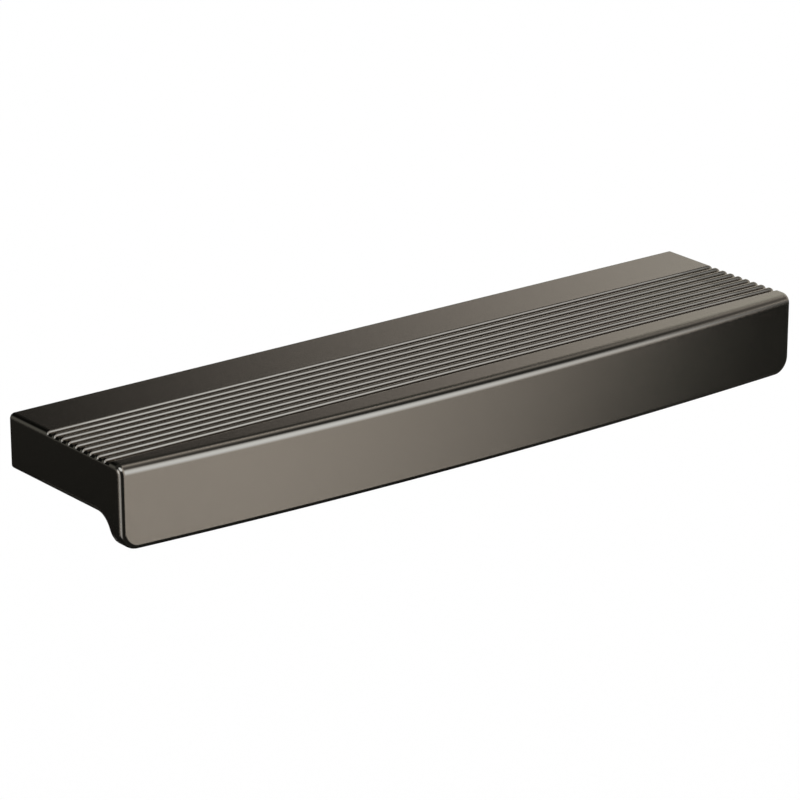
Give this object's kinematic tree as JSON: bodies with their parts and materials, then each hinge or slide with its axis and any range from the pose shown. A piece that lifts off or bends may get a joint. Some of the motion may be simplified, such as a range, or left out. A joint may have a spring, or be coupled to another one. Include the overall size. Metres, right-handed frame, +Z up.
{
  "type": "bin pull",
  "caption": "One-piece cast drawer pull with a grooved flat top, a bowed front lip over a finger hollow, and threaded screw holes in its flat back.",
  "frame": {"origin": "middle of the back face, halfway between the two screw holes", "axes": "+X along the pull, +Y out of the back face into the drawer front, +Z up; the bowed front faces -Y"},
  "size_m": [0.16, 0.0386, 0.0163],
  "materials": {
    "dark_nickel": "polished dark nickel plate on a zinc casting"
  },
  "bodies": {
    "root": {"pull_body": "dark_nickel"}
  },
  "joints": []
}
